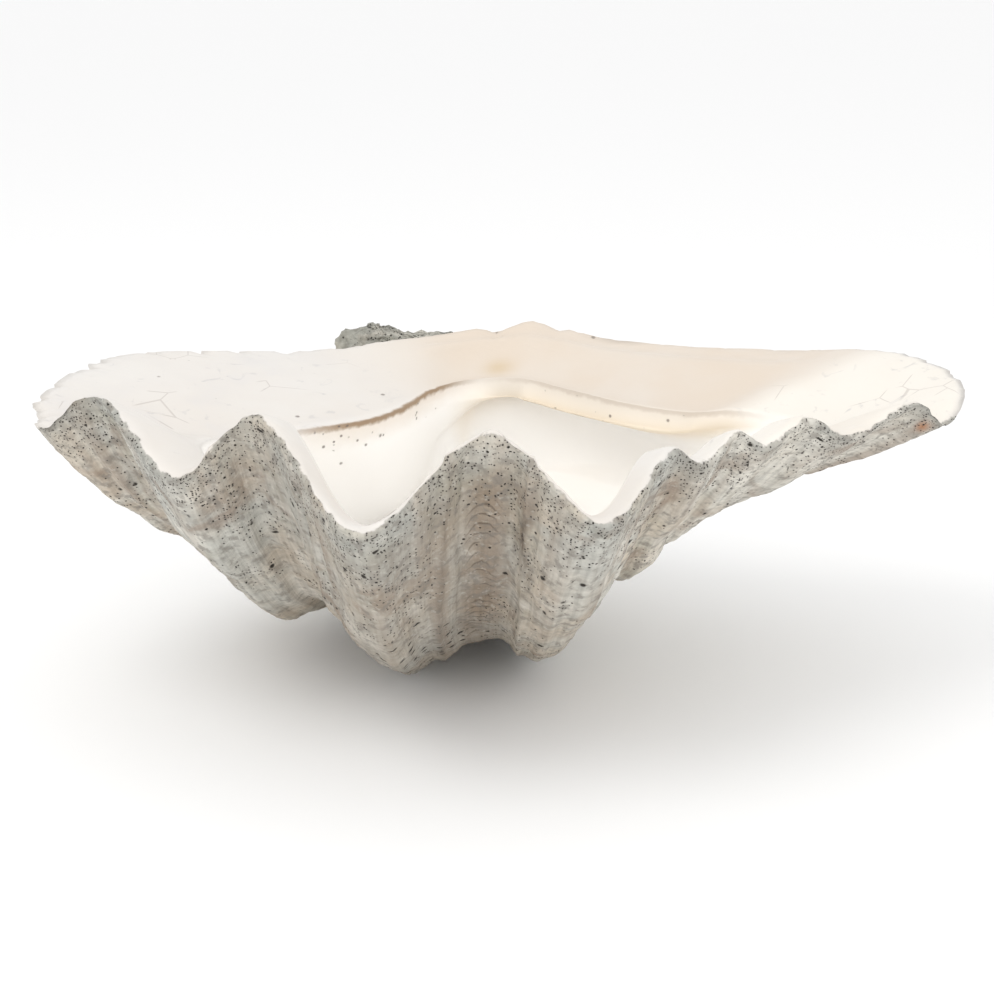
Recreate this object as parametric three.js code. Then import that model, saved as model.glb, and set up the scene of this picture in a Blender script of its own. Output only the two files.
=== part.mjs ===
// One valve of a giant clam, lying on its outside with the bowl open upwards.
// Millimetres, +Z up, +X towards the long plain arm, -Y towards the folded free edge.
// The valve grew as one piece, so it is one closed solid. Its skin has four parts: the outside,
// which turns under and back to the beak as a growth spiral, the lip with the hinge shelf, the
// nose of the shelf, and the wall of the bowl, which is a second spiral inside the first.
import * as THREE from "three";

// Stations round the valve: from the left end of the hinge, along the back edge to the left
// tip, along the folded free edge to the right tip, and back to the hinge. A rib is a fold that
// bulges outwards, and a groove is the high fold between two ribs.
// rim: outer edge of the lip. crease: where the lip or the hinge shelf ends and the bowl begins.
// swell and fill: how fast the outside and the bowl close in as they turn under.
// drop: thickness of the shelf's nose. root: where the bowl's wall starts, behind the nose.
// The points are taken from the beak's level, before the valve is set down.
const STATIONS = [
  { at: "hinge left", rim: [-30, -8, 2], crease: [-22, -62, -19], swell: 0.45, fill: 0.36, drop: 12 },
  { at: "beak", rim: [-69, -22, 1], crease: [-45, -85, -21], swell: 0.47, fill: 0.38, drop: 8 },
  { at: "back edge left 1", rim: [-139, -38, -4], crease: [-62, -122, -23], swell: 0.48, fill: 0.39, drop: 5 },
  { at: "back edge left 2", rim: [-206, -58, 1], crease: [-84, -152, -24], swell: 0.50, fill: 0.40, drop: 4 },
  { at: "back edge left 3", rim: [-251, -82, 4], crease: [-112, -170, -24], swell: 0.52, fill: 0.42 },
  { at: "left corner", rim: [-275, -112, 4], crease: [-135, -184, -24], swell: 0.54, fill: 0.45 },
  { at: "left end back", rim: [-288, -150, 0], crease: [-154, -192, -25], swell: 0.56, fill: 0.49 },
  { at: "left tip", rim: [-296, -192, -7], crease: [-167, -200, -24], swell: 0.58, fill: 0.52 },
  { at: "rib 1", rim: [-280, -221, -11], crease: [-177, -211, -20], swell: 0.55, fill: 0.56 },
  { at: "groove 1", rim: [-246, -238, 13], crease: [-182, -232, -19], swell: 0.52, fill: 0.61 },
  { at: "rib 2", rim: [-189, -296, -23], crease: [-165, -268, -20], swell: 0.49, fill: 0.65 },
  { at: "groove 2", rim: [-142, -306, 17], crease: [-127, -285, 12], swell: 0.36, fill: 0.78 },
  { at: "rib 3", rim: [-74, -392, -26], crease: [-70, -371, -26], swell: 0.68, fill: 0.76 },
  { at: "groove 3", rim: [-4, -372, 23], crease: [-4, -352, 19], swell: 0.42, fill: 0.74 },
  { at: "rib 4", rim: [57, -392, -21], crease: [51, -371, -20], swell: 0.64, fill: 0.80 },
  { at: "groove 4", rim: [102, -330, 3], crease: [87, -315, 1], swell: 0.50, fill: 0.69 },
  { at: "rib 5", rim: [120, -318, -8], crease: [109, -303, -7], swell: 0.54, fill: 0.71 },
  { at: "groove 5", rim: [141, -302, 6], crease: [130, -285, 2], swell: 0.57, fill: 0.73 },
  { at: "rib 6", rim: [156, -296, -4], crease: [145, -276, -3], swell: 0.61, fill: 0.75 },
  { at: "groove 6", rim: [185, -276, 7], crease: [169, -252, 2], swell: 0.65, fill: 0.77 },
  { at: "rib 7", rim: [212, -262, -7], crease: [186, -232, -12], swell: 0.68, fill: 0.78 },
  { at: "groove 7", rim: [261, -222, 4], crease: [200, -202, -18], swell: 0.62, fill: 0.74 },
  { at: "rib 8", rim: [280, -210, -12], crease: [208, -188, -22], swell: 0.57, fill: 0.70 },
  { at: "right tip", rim: [296, -186, -2], crease: [210, -174, -24], swell: 0.53, fill: 0.65 },
  { at: "right end back", rim: [300, -150, 4], crease: [207, -166, -25], swell: 0.49, fill: 0.60,
    drop: 4, root: [208, -155, -27] },
  { at: "right corner", rim: [289, -116, 7], crease: [188, -150, -24], swell: 0.45, fill: 0.55,
    drop: 6, root: [200, -130, -28] },
  { at: "back edge right 1", rim: [265, -80, 6], crease: [158, -138, -22], swell: 0.44, fill: 0.52,
    drop: 10, root: [185, -108, -30] },
  { at: "back edge right 2", rim: [212, -48, -1], crease: [124, -137, -22], swell: 0.44, fill: 0.48,
    drop: 13, root: [158, -86, -32] },
  { at: "back edge right 3", rim: [144, -28, -3], crease: [84, -116, -21], swell: 0.43, fill: 0.45,
    drop: 14, root: [112, -62, -34] },
  { at: "back edge right 4", rim: [88, -12, -2], crease: [48, -84, -20], swell: 0.43, fill: 0.41,
    drop: 15, root: [66, -42, -34] },
  { at: "hinge right", rim: [31, -6, 6], crease: [14, -60, -18], swell: 0.42, fill: 0.38,
    drop: 14, root: [20, -30, -34] },
];

const LIP_DROP = 3;

// The outside: its beak, the tilt of the axis that it grows round, how its folds fade, and the
// turns, in radians, at which the skin has a row. They are closest where the valve rests.
const OUTSIDE = {
  pole: new THREE.Vector3(-60, 19, 0),
  tilt: -0.18,
  curl: 0.02,
  foldLeft: 0.3,
  foldReach: 0.6,
  bluntStart: 2.7,
  bluntEnd: 3.25,
  turns: [0, 0.14, 0.32, 0.52, 0.74, 0.94, 1.1, 1.24, 1.38, 1.52, 1.66, 1.82, 2.0, 2.2, 2.42, 2.66, 2.88,
    3.04, 3.16, 3.23],
};

// The bowl: the same kind of spiral about a point under the hinge shelf.
const BOWL = {
  pole: new THREE.Vector3(-50, -16, -36),
  tilt: -0.19,
  curl: 0.02,
  foldLeft: 0.15,
  foldReach: 0.45,
  bluntStart: 1.1,
  bluntEnd: 1.6,
  turns: [0, 0.2, 0.42, 0.66, 0.9, 1.12, 1.25, 1.36, 1.45, 1.52, 1.56, 1.585],
};

// Past this turn, in radians, all the stations close in at the same speed.
const EVEN_TURN = 1.1;

// The beak leans to the left and back between these turns.
const BEAK_LEAN = new THREE.Vector3(-42, 30, -12);
const LEAN_START = 1.3;
const LEAN_END = 3.2;

const SHELF_FADE = 0.95;
const COLUMNS_PER_STATION = 4;
const COLUMNS = STATIONS.length * COLUMNS_PER_STATION;

// The lip's cross-section: steps across it, and the height of its rounded top at each.
const LIP_STEPS = [0.25, 0.7];
const LIP_ROUND = 4;

// How the valve lies when it is set down, and the depth worn flat where it touches.
const PITCH = THREE.MathUtils.degToRad(1);
const ROLL = THREE.MathUtils.degToRad(1);
const WEAR = 6;

const SOFTEN_WIDTH = 2;
const SWELL_SOFTEN_WIDTH = 0.8;

function wrapped(list, index) {
  const count = list.length;
  return list[((index % count) + count) % count];
}

// A ring of numbers smoothed by a bell curve, width in stations.
function softened(values, width) {
  const reach = Math.ceil(width * 3);
  return values.map((unused, centre) => {
    let sum = 0;
    let weightSum = 0;
    for (let step = -reach; step <= reach; step += 1) {
      const weight = Math.exp(-0.5 * (step / width) ** 2);
      sum += weight * wrapped(values, centre + step);
      weightSum += weight;
    }
    return sum / weightSum;
  });
}

// A smooth value between the stations of a ring.
function ringValue(values, place) {
  const index = Math.floor(place);
  const part = place - index;
  const before = wrapped(values, index - 1);
  const start = wrapped(values, index);
  const end = wrapped(values, index + 1);
  const after = wrapped(values, index + 2);
  const slopeStart = (end - before) / 2;
  const slopeEnd = (after - start) / 2;
  const cubic = 2 * start - 2 * end + slopeStart + slopeEnd;
  const square = 3 * end - 3 * start - 2 * slopeStart - slopeEnd;
  return start + part * (slopeStart + part * (square + part * cubic));
}

function ringCurve(points) {
  const curve = new THREE.CatmullRomCurve3(points, true, "centripetal");
  return (place) => curve.getPoint((place / points.length) % 1);
}

function stationPoints(pick) {
  return STATIONS.map((station) => new THREE.Vector3(...pick(station)));
}

function noseBottom(station) {
  const [x, y, z] = station.crease;
  return [x, y, z - (station.drop ?? LIP_DROP)];
}

const rimPoints = stationPoints((station) => station.rim);
const rootPoints = stationPoints((station) => station.root ?? noseBottom(station));
const rimAt = ringCurve(rimPoints);
const rootAt = ringCurve(rootPoints);
const creaseAt = ringCurve(stationPoints((station) => station.crease));
const noseAt = ringCurve(stationPoints(noseBottom));

// One row of a growth spiral: the edge turned under about the axis and drawn in to the pole.
function spiral(shape, edgeAt, edgePoints, closing) {
  const levels = softened(edgePoints.map((point) => point.z), SOFTEN_WIDTH);
  const speeds = softened(closing, SWELL_SOFTEN_WIDTH);
  const meanSpeed = speeds.reduce((sum, speed) => sum + speed, 0) / speeds.length;
  const axis = new THREE.Vector3(Math.cos(shape.tilt), Math.sin(shape.tilt), 0);
  return (place, turn) => {
    const point = edgeAt(place);
    const level = ringValue(levels, place);
    const foldShare = shape.foldLeft + (1 - shape.foldLeft) * Math.exp(-turn / shape.foldReach);
    point.z = level + (point.z - level) * foldShare;
    const ownTurn = EVEN_TURN * (1 - Math.exp(-turn / EVEN_TURN));
    const ownPart = (ringValue(speeds, place) - meanSpeed) * ownTurn;
    const size = Math.exp(-(meanSpeed * turn + ownPart + shape.curl * turn ** 3));
    return point.sub(shape.pole).applyAxisAngle(axis, turn).multiplyScalar(size).add(shape.pole);
  };
}

const outerSpiralAt = spiral(OUTSIDE, rimAt, rimPoints, STATIONS.map((station) => station.swell));
const bowlAt = spiral(BOWL, rootAt, rootPoints, STATIONS.map((station) => station.fill));

function outsideAt(place, turn) {
  const share = THREE.MathUtils.smoothstep(turn, LEAN_START, LEAN_END);
  return outerSpiralAt(place, turn).addScaledVector(BEAK_LEAN, share);
}

// The bowl's wall starts at the shelf's nose and joins the spiral behind it.
function wallAt(place, turn) {
  const hang = noseAt(place).sub(rootAt(place));
  const share = 1 - THREE.MathUtils.smoothstep(turn, 0, SHELF_FADE);
  return bowlAt(place, turn).addScaledVector(hang, share);
}

// The lip and the shelf: a rounded edge, then a plain slope down to the crease.
function lipAt(place, share) {
  const point = rimAt(place).lerp(creaseAt(place), share);
  point.z += LIP_ROUND * Math.sin(Math.PI * Math.sqrt(share));
  return point;
}

function ringRow(pointAt) {
  return Array.from({ length: COLUMNS }, (unused, column) => pointAt(column / COLUMNS_PER_STATION));
}

function middle(row) {
  const sum = new THREE.Vector3();
  row.forEach((point) => sum.add(point));
  return sum.divideScalar(row.length);
}

// One row of a spiral, drawn in to its own middle where the spiral rounds off.
function spiralRow(shape, pointAt, turn) {
  const row = ringRow((place) => pointAt(place, turn));
  const part = Math.max(0, (turn - shape.bluntStart) / (shape.bluntEnd - shape.bluntStart));
  const share = 1 - Math.sqrt(1 - part * part);
  const centre = middle(row);
  return row.map((point) => point.lerp(centre, share));
}

// All rows in order, from the tip of the beak, out over the outside and the lip, and into the bowl.
function shellRows() {
  const rows = [];
  OUTSIDE.turns.toReversed().forEach((turn) => rows.push(spiralRow(OUTSIDE, outsideAt, turn)));
  LIP_STEPS.forEach((share) => rows.push(ringRow((place) => lipAt(place, share))));
  rows.push(ringRow(creaseAt));
  BOWL.turns.forEach((turn) => rows.push(spiralRow(BOWL, wallAt, turn)));
  return rows;
}

// The skin: quads between neighbouring rows, and a fan over each end.
function skinGeometry(rows) {
  const points = rows.flat();
  const triangles = [];
  for (let row = 0; row + 1 < rows.length; row += 1) {
    for (let column = 0; column < COLUMNS; column += 1) {
      const next = (column + 1) % COLUMNS;
      const a = row * COLUMNS + column;
      const b = row * COLUMNS + next;
      const c = a + COLUMNS;
      const d = b + COLUMNS;
      triangles.push(a, b, c, b, d, c);
    }
  }
  const first = points.push(middle(rows[0])) - 1;
  const last = points.push(middle(rows[rows.length - 1])) - 1;
  const lastRow = (rows.length - 1) * COLUMNS;
  for (let column = 0; column < COLUMNS; column += 1) {
    const next = (column + 1) % COLUMNS;
    triangles.push(first, next, column);
    triangles.push(last, lastRow + column, lastRow + next);
  }
  const geometry = new THREE.BufferGeometry().setFromPoints(points);
  geometry.setIndex(triangles);
  return geometry;
}

// Turn the valve as it lies, wear its lowest ribs flat and put the middle of its base at the origin.
function setDown(geometry) {
  geometry.rotateX(PITCH);
  geometry.rotateY(ROLL);
  const position = geometry.getAttribute("position");
  geometry.computeBoundingBox();
  const ground = geometry.boundingBox.min.z + WEAR;
  for (let index = 0; index < position.count; index += 1) {
    position.setZ(index, Math.max(position.getZ(index), ground));
  }
  geometry.computeBoundingBox();
  const box = geometry.boundingBox;
  const centre = box.getCenter(new THREE.Vector3());
  geometry.translate(-centre.x, -centre.y, -box.min.z);
  geometry.computeVertexNormals();
  return geometry;
}

function makeValve() {
  const material = new THREE.MeshStandardMaterial({ color: 0xc9c1b6, roughness: 0.72, metalness: 0 });
  const valve = new THREE.Mesh(setDown(skinGeometry(shellRows())), material);
  valve.name = "valve";
  return valve;
}

const part = new THREE.Group();
part.add(makeValve());

export default part;
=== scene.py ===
"""The looks of one giant clam valve: the grown shell with its chalky outside and its porcelain bowl."""
import math
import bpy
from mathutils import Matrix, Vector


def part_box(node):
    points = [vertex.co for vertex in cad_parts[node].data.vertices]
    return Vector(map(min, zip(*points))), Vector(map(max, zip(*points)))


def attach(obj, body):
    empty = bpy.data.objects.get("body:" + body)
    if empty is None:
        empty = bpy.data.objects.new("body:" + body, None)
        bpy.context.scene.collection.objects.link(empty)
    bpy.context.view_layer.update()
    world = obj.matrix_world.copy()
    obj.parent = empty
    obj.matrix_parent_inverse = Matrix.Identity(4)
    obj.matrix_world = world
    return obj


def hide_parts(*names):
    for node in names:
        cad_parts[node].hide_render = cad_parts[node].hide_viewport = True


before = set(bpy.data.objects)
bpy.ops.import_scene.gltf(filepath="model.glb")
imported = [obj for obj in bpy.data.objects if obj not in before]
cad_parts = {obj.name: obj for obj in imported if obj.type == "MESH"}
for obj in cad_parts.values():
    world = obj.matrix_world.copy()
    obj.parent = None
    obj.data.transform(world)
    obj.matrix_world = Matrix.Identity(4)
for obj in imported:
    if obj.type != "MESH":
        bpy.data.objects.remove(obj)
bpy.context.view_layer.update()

from types import SimpleNamespace

import bpy
import numpy as np
from bpy.props import FloatProperty, FloatVectorProperty, IntProperty, PointerProperty
from mathutils import Matrix, Vector, noise

bl_info = {
    "name": "Giant clam valve",
    "version": (1, 0, 0),
    "blender": (4, 5, 0),
    "location": "View3D > Sidebar > Clam",
    "description": "Grows one valve of a giant clam and lays it on a pale studio floor",
    "category": "Mesh",
}

MM = 0.001

# The stations round the valve, in millimetres from the beak's level: from the left end of the hinge,
# along the back edge to the left tip, along the folded free edge to the right tip and back.
# Each row: name, rim, crease, swell, fill, drop, root. The rim is the outer edge of the lip, the
# crease is where the lip or the hinge shelf ends, swell and fill are how fast the outside and the
# bowl close in, drop is the thickness of the shelf's nose, and root is where the bowl's wall starts.
STATIONS = (
    ("hinge left", (-30, -8, 2), (-22, -62, -19), 0.45, 0.36, 12, None),
    ("beak", (-69, -22, 1), (-45, -85, -21), 0.47, 0.38, 8, None),
    ("back edge left 1", (-139, -38, -4), (-62, -122, -23), 0.48, 0.39, 5, None),
    ("back edge left 2", (-206, -58, 1), (-84, -152, -24), 0.50, 0.40, 4, None),
    ("back edge left 3", (-251, -82, 4), (-112, -170, -24), 0.52, 0.42, 3, None),
    ("left corner", (-275, -112, 4), (-135, -184, -24), 0.54, 0.45, 3, None),
    ("left end back", (-288, -150, 0), (-154, -192, -25), 0.56, 0.49, 3, None),
    ("left tip", (-296, -192, -7), (-167, -200, -24), 0.58, 0.52, 3, None),
    ("rib 1", (-280, -221, -11), (-177, -211, -20), 0.55, 0.56, 3, None),
    ("groove 1", (-246, -238, 13), (-182, -232, -19), 0.52, 0.61, 3, None),
    ("rib 2", (-189, -296, -23), (-165, -268, -20), 0.49, 0.65, 3, None),
    ("groove 2", (-142, -306, 17), (-127, -285, 12), 0.36, 0.78, 3, None),
    ("rib 3", (-74, -392, -26), (-70, -371, -26), 0.68, 0.76, 3, None),
    ("groove 3", (-4, -372, 23), (-4, -352, 19), 0.42, 0.74, 3, None),
    ("rib 4", (57, -392, -21), (51, -371, -20), 0.64, 0.80, 3, None),
    ("groove 4", (102, -330, 3), (87, -315, 1), 0.50, 0.69, 3, None),
    ("rib 5", (120, -318, -8), (109, -303, -7), 0.54, 0.71, 3, None),
    ("groove 5", (141, -302, 6), (130, -285, 2), 0.57, 0.73, 3, None),
    ("rib 6", (156, -296, -4), (145, -276, -3), 0.61, 0.75, 3, None),
    ("groove 6", (185, -276, 7), (169, -252, 2), 0.65, 0.77, 3, None),
    ("rib 7", (212, -262, -7), (186, -232, -12), 0.68, 0.78, 3, None),
    ("groove 7", (261, -222, 4), (200, -202, -18), 0.62, 0.74, 3, None),
    ("rib 8", (280, -210, -12), (208, -188, -22), 0.57, 0.70, 3, None),
    ("right tip", (296, -186, -2), (210, -174, -24), 0.53, 0.65, 3, None),
    ("right end back", (300, -150, 4), (207, -166, -25), 0.49, 0.60, 4, (208, -155, -27)),
    ("right corner", (289, -116, 7), (188, -150, -24), 0.45, 0.55, 6, (200, -130, -28)),
    ("back edge right 1", (265, -80, 6), (158, -138, -22), 0.44, 0.52, 10, (185, -108, -30)),
    ("back edge right 2", (212, -48, -1), (124, -137, -22), 0.44, 0.48, 13, (158, -86, -32)),
    ("back edge right 3", (144, -28, -3), (84, -116, -21), 0.43, 0.45, 14, (112, -62, -34)),
    ("back edge right 4", (88, -12, -2), (48, -84, -20), 0.43, 0.41, 15, (66, -42, -34)),
    ("hinge right", (31, -6, 6), (14, -60, -18), 0.42, 0.38, 14, (20, -30, -34)),
)
COUNT = len(STATIONS)
PLACE = {station[0]: index for index, station in enumerate(STATIONS)}

# Stretches of the ring, in stations, where a feature comes in and goes out: start, full, fading, end.
# Those that cross the hinge count on past the last station.
STRETCHES = {
    "close columns": (5.5, 7.0, 23.0, 24.5),
    "free edge": (6.5, 8.5, 22.0, 23.5),
    # The right-hand side, laid paler as painted light from the right.
    "pale folds": (15.0, 17.0, COUNT, COUNT + 1.0),
    "chips left": (0.5, 3.0, 7.2, 8.2),
    "chips right": (22.5, 24.5, COUNT, COUNT + 1.0),
    "plate ridge": (26.2, 26.9, COUNT + 0.2, COUNT + 1.4),
    "plate colour": (25.6, 26.8, COUNT - 0.2, COUNT + 2.2),
    # The stretch where the tan painted shade under the hinge plate lies.
    "under plate": (25.0, 26.4, COUNT - 0.9, COUNT + 0.6),
    "crease left": (COUNT - 0.5, COUNT + 0.8, COUNT + 3.2, COUNT + 5.6),
    "crease right": (25.2, 26.3, 29.5, 31.0),
    "arm": (14.0, 19.0, 25.8, 26.6),
    "dish": (1.0, 3.0, 8.5, 10.5),
}
# Places before this one count as past the hinge there.
HINGE_SPLIT = 9.5

# The growth law of the outside and of the bowl: the pole that each turns in to, the tilt of its
# axis, and how its folds fade. Turns are in radians, lengths in metres.
OUTSIDE = SimpleNamespace(pole=(-0.060, 0.019, 0.0), tilt=-0.18, curl=0.02, fold_left=0.3, fold_reach=0.6,
                          blunt_start=2.7, blunt_end=3.25)
BOWL = SimpleNamespace(pole=(-0.050, -0.016, -0.036), tilt=-0.19, curl=0.02, fold_left=0.15, fold_reach=0.45,
                       blunt_start=1.1, blunt_end=1.6)
BEAK_LEAN = np.array((-0.042, 0.030, -0.012))
LEAN_START = 1.3
LEAN_END = 3.2
EVEN_TURN = 1.1
SHELF_FADE = 0.95
LIP_ROUND = 4 * MM
SOFTEN_WIDTH = 2
SWELL_SOFTEN_WIDTH = 0.8

# How the valve lies, and the depth worn flat where it touches the floor.
PITCH = math.radians(1)
ROLL = math.radians(1)
WEAR = 6 * MM
CAD_COLUMNS = COUNT * 4
CAD_TURNS = (0, 0.14, 0.32, 0.52, 0.74, 0.94, 1.1, 1.24, 1.38, 1.52, 1.66, 1.82, 2, 2.2, 2.42, 2.66,
             2.88, 3.04, 3.16, 3.23)

# The arched lamellae of the middle channel: their spacing, and how much the arches bend (per metre).
RELIEF_LAMELLA_STEP = 7.5 * MM
COLOUR_LAMELLA_STEP = 8.5 * MM
LAMELLA_BEND = 110

# How far the porcelain reaches past the rim, on the back edge and on the free edge (where it stops
# short of it), and how ragged and how soft its border is.
BORDER_BACK = 9 * MM
BORDER_FREE = -3 * MM
BORDER_RAGGED = 9 * MM
BORDER_BLUR = 0.8 * MM

# Depth of the drawn grain, and how near two vertices are to be joined.
BUMP_DEPTH = 1.1 * MM
WELD = 0.002 * MM

# Tints of single marks, as linear light.
TINTS = SimpleNamespace(
    channel=(0.25, 0.175, 0.115), middle_fold=(0.24, 0.20, 0.155), deep_line=(0.12, 0.09, 0.065),
    lip=(0.30, 0.30, 0.275), grime=(0.22, 0.20, 0.175), crust=(0.30, 0.295, 0.26),
    # The tan for below the crease, on the next line, is partly the stain's spread and partly painted shade
    # under the crease's edge.
    cool_white=(0.66, 0.645, 0.64), socket=(0.60, 0.47, 0.30), crease_stain_and_shade=(0.62, 0.46, 0.30),
    speck=(0.16, 0.13, 0.11), back_mark=(0.42, 0.36, 0.30), smudge=(0.42, 0.41, 0.42),
    hair=(0.33, 0.28, 0.25))

# Rows and columns of the fine skin.
FREE_EDGE_SHARE = 0.66
OUTSIDE_ROWS = 98
BEAK_ROWS = 24
BEAK_TURN = 1.3
LIP_ROWS = 15
WALL_ROWS = 24
END_ROWS = 8
ROW_SHRINK = 0.5
GROWTH_REACH = 0.87


# ---- the settings a user would change ----

def length_setting(name, description, default):
    return FloatProperty(name=name, description=description, default=default, unit="LENGTH")


def colour_setting(name, description, default):
    return FloatVectorProperty(name=name, description=description, subtype="COLOR", size=3, default=default)


class ClamShape(bpy.types.PropertyGroup):
    """Relief of the skin."""
    columns: IntProperty(name="Columns", description="Points round the valve", default=560, min=124)
    riblet_height: length_setting("Riblet height", "Height of the fine ribs down the folds", 1.5 * MM)
    side_rib_height: length_setting("Side rib height", "Height of the ribs on the flanks", 3.4 * MM)
    knuckle_height: length_setting("Knuckle height", "Height of the knuckles at the hinge", 5.0 * MM)
    ledge_height: length_setting("Ledge height", "Step left by each season's edge", 1.0 * MM)
    groove_depth: length_setting("Groove depth", "Depth of the channel down the middle fold", 2.6 * MM)
    undulation: length_setting("Undulation", "Slow unevenness of the outside", 4.0 * MM)
    crust_height: length_setting("Crust height", "Knobs grown on the beak", 7.0 * MM)
    chip_depth: length_setting("Chip depth", "Depth of the chips in the back edge", 8.0 * MM)
    plate_height: length_setting("Plate height", "Height of the hinge plate's ridge", 4.0 * MM)


class ClamFinish(bpy.types.PropertyGroup):
    """Colours of the shell, as linear light."""
    chalk: colour_setting("Chalk", "Cool grey of the outside", (0.55, 0.545, 0.50))
    warm_chalk: colour_setting("Warm chalk", "Warm grey of the outside", (0.61, 0.54, 0.445))
    bleached: colour_setting("Bleached chalk", "Palest patches of the outside", (0.76, 0.73, 0.66))
    mauve: colour_setting("Mauve", "Brownish patches of the outside", (0.28, 0.20, 0.145))
    # Besides the greenish grime, this colour also lays partly painted shade over the base, away from the rim.
    moss_and_base_shade: colour_setting("Moss", "Greenish grime of the outside", (0.37, 0.36, 0.285))
    pit: colour_setting("Pits", "Dark inside of pits and bored holes", (0.035, 0.030, 0.024))
    porcelain: colour_setting("Porcelain", "White of the bowl", (0.98, 0.965, 0.94))
    shelf: colour_setting("Shelf", "Duller white of the shelf round the bowl", (0.725, 0.695, 0.655))
    arm: colour_setting("Arm", "Warm white of the shelf's right arm", (0.82, 0.78, 0.715))
    cream: colour_setting("Cream", "Peach cream of the hinge plate", (0.69, 0.60, 0.505))
    # Painted shade: this tan stands in for the shade in the hollow under the hinge plate; in the bowl it also
    # gives faint random tan patches.
    shade: colour_setting("Shade", "Tan of the hollow under the hinge plate", (0.82, 0.71, 0.56))
    stain: colour_setting("Stain", "Brown line along the crease", (0.30, 0.19, 0.10))
    rust: colour_setting("Rust", "Orange spot near the right tip", (0.42, 0.17, 0.06))
    outside_roughness: FloatProperty(name="Outside roughness", description="Roughness of the chalk",
                                     default=0.86, min=0, max=1, subtype="FACTOR")
    inside_roughness: FloatProperty(name="Inside roughness", description="Roughness of the porcelain",
                                    default=0.36, min=0, max=1, subtype="FACTOR")


class ClamStage(bpy.types.PropertyGroup):
    """Floor, light and camera."""
    floor_colour: colour_setting("Floor colour", "Pale floor", (0.93, 0.93, 0.93))
    sky: FloatProperty(name="Sky", description="Strength of the even light from all round", default=1.02)
    key_power: FloatProperty(name="Key light", description="Power of the large lamp", default=11.0,
                             unit="POWER")
    fill_power: FloatProperty(name="Fill light", description="Power of the lamp in front", default=11.0,
                              unit="POWER")
    elevation: FloatProperty(name="Camera elevation", description="Angle that the camera looks down by",
                             default=math.radians(17), subtype="ANGLE", unit="ROTATION")
    distance: length_setting("Camera distance", "From the camera to the valve's front", 1.3)
    lens: FloatProperty(name="Lens", description="Focal length", default=73.3, subtype="DISTANCE_CAMERA")


# ---- the growth law ----

def station_column(index):
    return np.array([station[index] for station in STATIONS], float)


def station_points(index):
    return station_column(index) * MM


def nose_points():
    points = station_points(2)
    points[:, 2] -= station_column(5) * MM
    return points


def root_points():
    noses = nose_points()
    given = [station[6] for station in STATIONS]
    return np.array([nose if root is None else np.array(root) * MM for nose, root in zip(noses, given)])


def softened(values, width):
    """A ring of numbers smoothed by a bell curve, width in stations."""
    steps = np.arange(-math.ceil(width * 3), math.ceil(width * 3) + 1)
    weights = np.exp(-0.5 * (steps / width) ** 2)
    return sum(weight * np.roll(values, -step) for weight, step in zip(weights, steps)) / weights.sum()


def ring_value(values, places):
    """A smooth value between the stations of a ring."""
    index = np.floor(places).astype(int)
    part = places - index
    before, start, end, after = (values[(index + step) % COUNT] for step in (-1, 0, 1, 2))
    return cubic_between(start, end, (end - before) / 2, (after - start) / 2, part)


def cubic_between(start, end, slope_start, slope_end, part):
    cubic = 2 * start - 2 * end + slope_start + slope_end
    square = 3 * end - 3 * start - 2 * slope_start - slope_end
    return start + part * (slope_start + part * (square + part * cubic))


def ring_curve(points, places):
    """A closed centripetal Catmull-Rom curve through the stations."""
    index = np.floor(places).astype(int)
    part = (places - index)[:, None]
    before, start, end, after = (points[(index + step) % COUNT] for step in (-1, 0, 1, 2))

    def spread(first, second):
        return np.sqrt(np.linalg.norm(second - first, axis=1))[:, None]

    first, middle, last = spread(before, start), spread(start, end), spread(end, after)
    across = (end - start) / middle
    slope_start = ((start - before) / first - (end - before) / (first + middle) + across) * middle
    slope_end = (across - (after - start) / (middle + last) + (after - end) / last) * middle
    return cubic_between(start, end, slope_start, slope_end, part)


def spiral(shape, edge_points, closing, places, turns):
    """Rows of a growth spiral: the edge turned under about the axis and drawn in to the pole."""
    edge = ring_curve(edge_points, places)
    level = ring_value(softened(edge_points[:, 2], SOFTEN_WIDTH), places)
    speeds = softened(closing, SWELL_SOFTEN_WIDTH)
    mean_speed = speeds.mean()
    own_speed = ring_value(speeds, places) - mean_speed
    axis = np.array([math.cos(shape.tilt), math.sin(shape.tilt), 0])
    pole = np.array(shape.pole)
    rows = []
    for turn in turns:
        fold_share = shape.fold_left + (1 - shape.fold_left) * math.exp(-turn / shape.fold_reach)
        arm = edge.copy()
        arm[:, 2] = level + (edge[:, 2] - level) * fold_share
        arm -= pole
        own_turn = EVEN_TURN * (1 - math.exp(-turn / EVEN_TURN))
        size = np.exp(-(mean_speed * turn + own_speed * own_turn + shape.curl * turn ** 3))
        along = (arm @ axis)[:, None] * axis
        turned = arm * math.cos(turn) + np.cross(axis, arm) * math.sin(turn) + along * (1 - math.cos(turn))
        rows.append(pole + turned * size[:, None])
    return np.array(rows)


def rounded_off(shape, rows, turns):
    """Draws each row in to its own middle where the spiral rounds off."""
    part = np.clip((np.array(turns) - shape.blunt_start) / (shape.blunt_end - shape.blunt_start), 0, 1)
    share = (1 - np.sqrt(1 - part * part))[:, None, None]
    ring = rows[:, :-1] if np.allclose(rows[0, 0], rows[0, -1]) else rows
    return rows + (ring.mean(axis=1, keepdims=True) - rows) * share


def outside_rows(places, turns):
    """The outside, with its beak leaning to the left and back."""
    rows = spiral(OUTSIDE, station_points(1), station_column(3), places, turns)
    rows += BEAK_LEAN * smooth_step(np.array(turns), LEAN_START, LEAN_END)[:, None, None]
    return rounded_off(OUTSIDE, rows, turns)


def smooth_step(values, low, high):
    share = np.clip((values - low) / (high - low), 0, 1)
    return share * share * (3 - 2 * share)


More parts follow.
